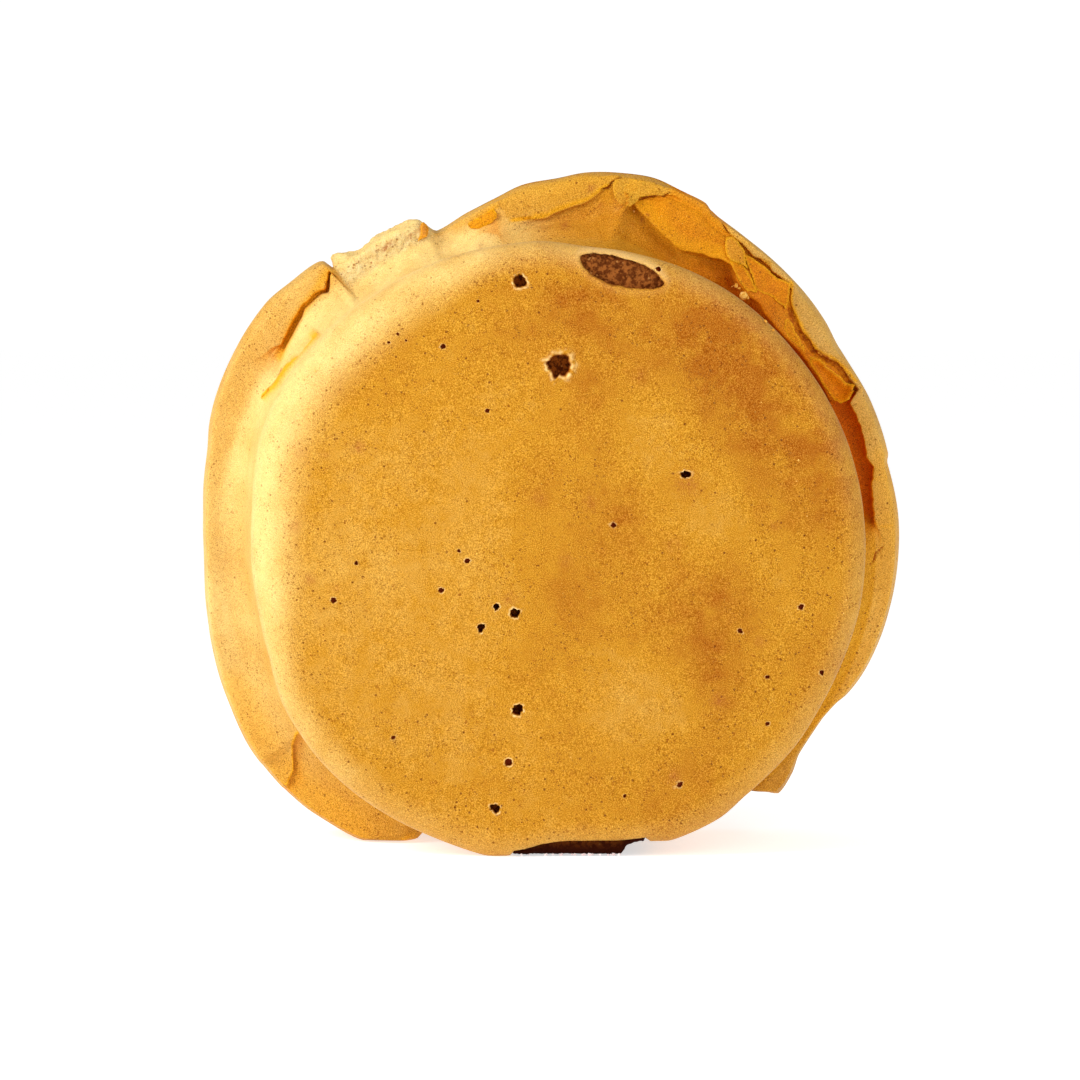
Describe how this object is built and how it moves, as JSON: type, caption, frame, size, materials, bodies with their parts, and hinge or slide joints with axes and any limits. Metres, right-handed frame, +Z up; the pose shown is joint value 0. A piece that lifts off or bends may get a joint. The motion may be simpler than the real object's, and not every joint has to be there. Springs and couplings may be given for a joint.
{
  "type": "alfajor",
  "caption": "Coated sandwich biscuit standing on its edge, with a caramel coating that has flaked from its back disc, bubble holes and bare patches of dark biscuit.",
  "frame": {"origin": "centre of the bottom of the bounding box, on the ground under the biscuit's bare strip", "axes": "+X to the right of the front face, +Y from the front face to the back face, +Z up"},
  "size_m": [0.0702, 0.025, 0.0671],
  "materials": {
    "coating": "satin caramel glaze with fine dark specks",
    "biscuit": "dark crumbly biscuit"
  },
  "bodies": {
    "root": {"coating": "coating", "biscuit": "biscuit"}
  },
  "joints": []
}
